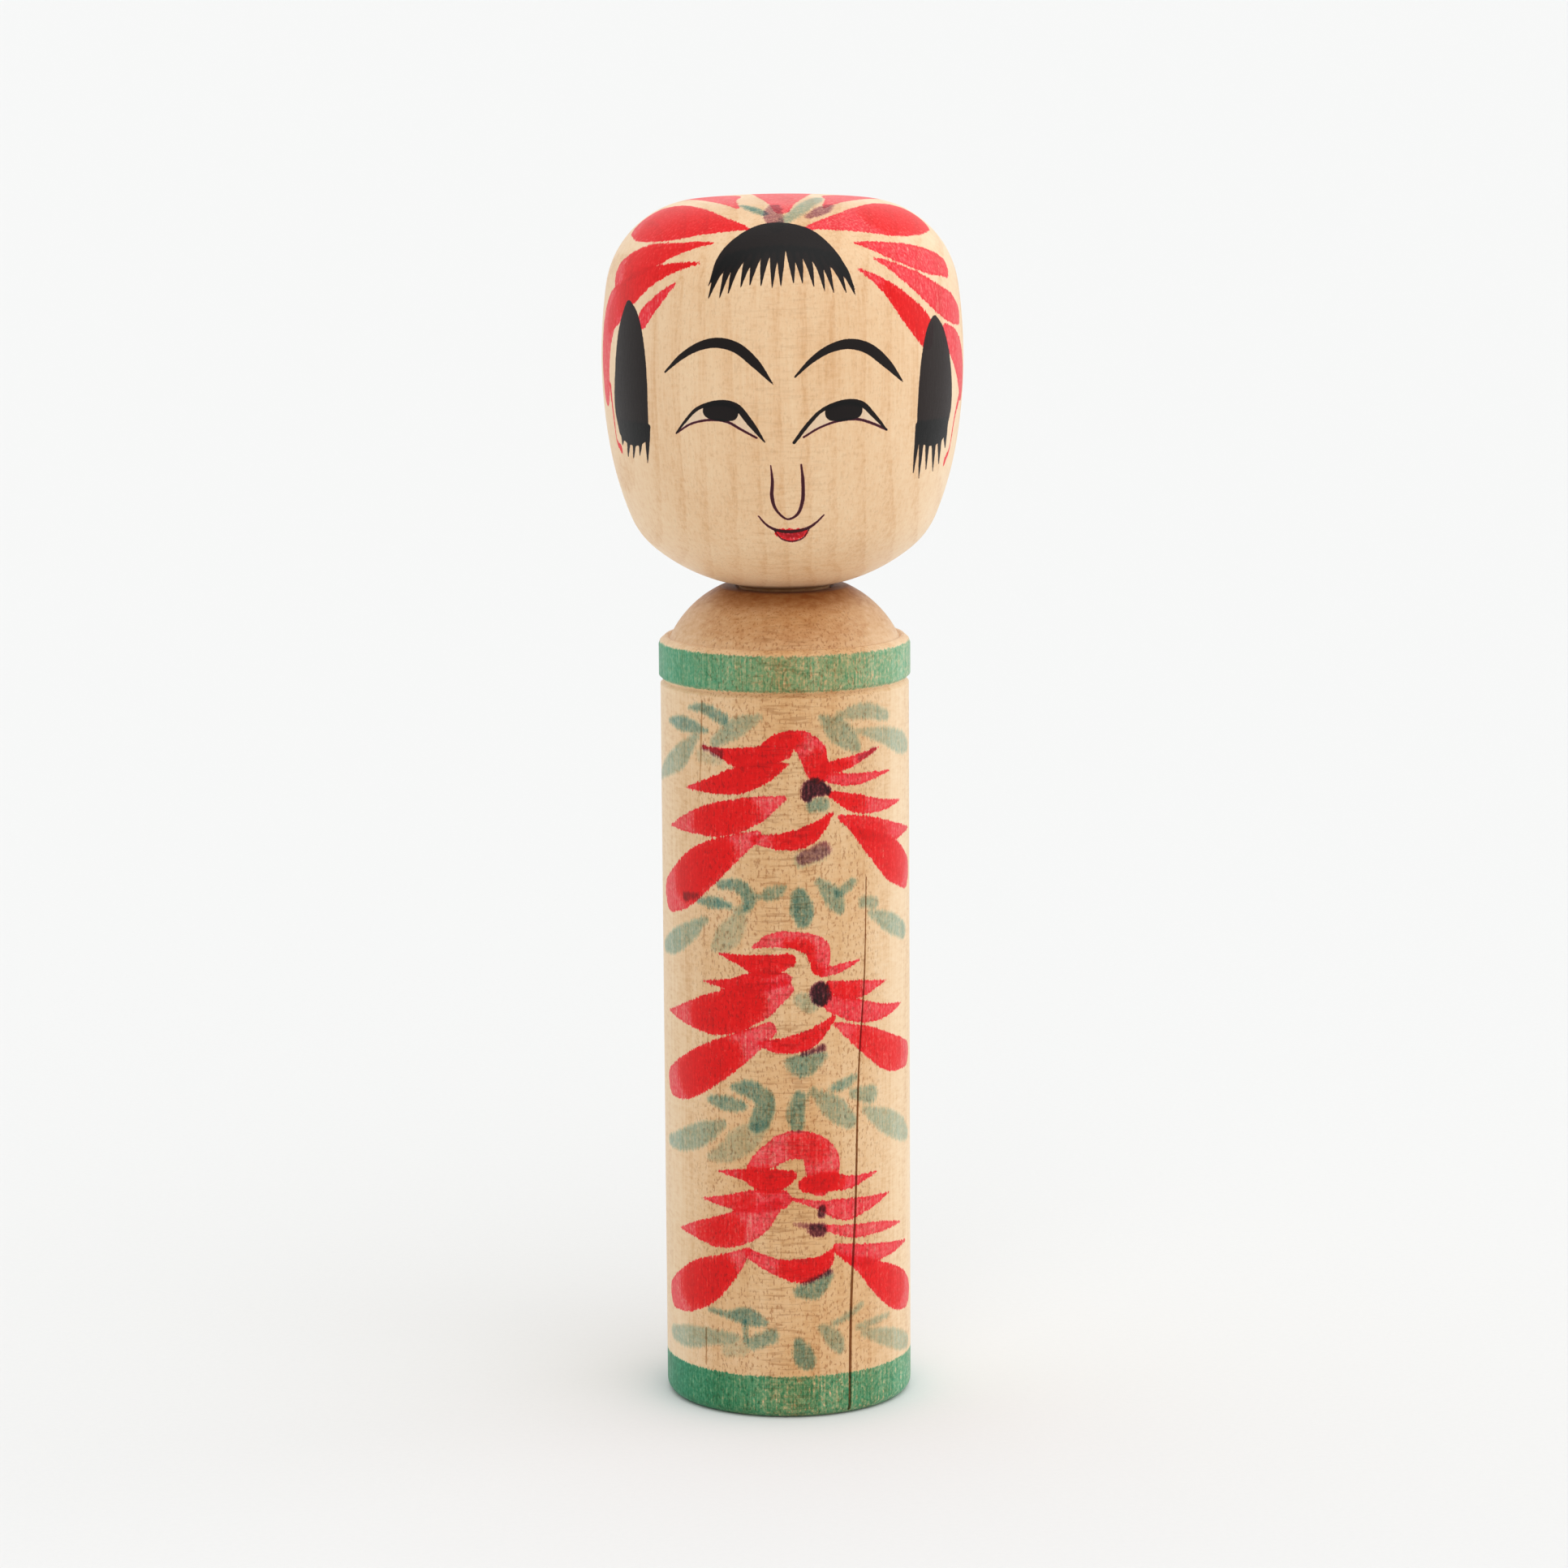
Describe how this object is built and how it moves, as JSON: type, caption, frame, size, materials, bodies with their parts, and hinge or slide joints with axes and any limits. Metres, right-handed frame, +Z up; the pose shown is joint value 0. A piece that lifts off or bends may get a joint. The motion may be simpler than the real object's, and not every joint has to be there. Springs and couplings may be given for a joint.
{
  "type": "kokeshi doll",
  "caption": "Turned wooden doll with a rounded head that turns on a captive tenon in a cylindrical body with a domed shoulder and a raised ring.",
  "frame": {"origin": "middle of the flat underside, on the doll's turning axis", "axes": "+Z up along the turning axis; the painted face looks along -Y; +X is the doll's left as it faces the viewer's right"},
  "size_m": [0.0708, 0.0708, 0.24],
  "materials": {
    "body_wood": "Waxed pale straight-grained hardwood, satin, with brush-painted red flowers and grey-green leaves and a green dye ring at the top and the foot.",
    "head_wood": "Waxed pale straight-grained hardwood, satin, with an ink-brushed face and hair and red dye ribbons over the crown."
  },
  "bodies": {
    "body": {"body": "body_wood"},
    "head": {"head": "head_wood"}
  },
  "joints": [
    {"name": "head_turn", "type": "hinge", "parent": "body", "child": "head", "pos_m": [0, 0, 0.1632], "axis": [0, 0, 1], "continuous": true}
  ]
}
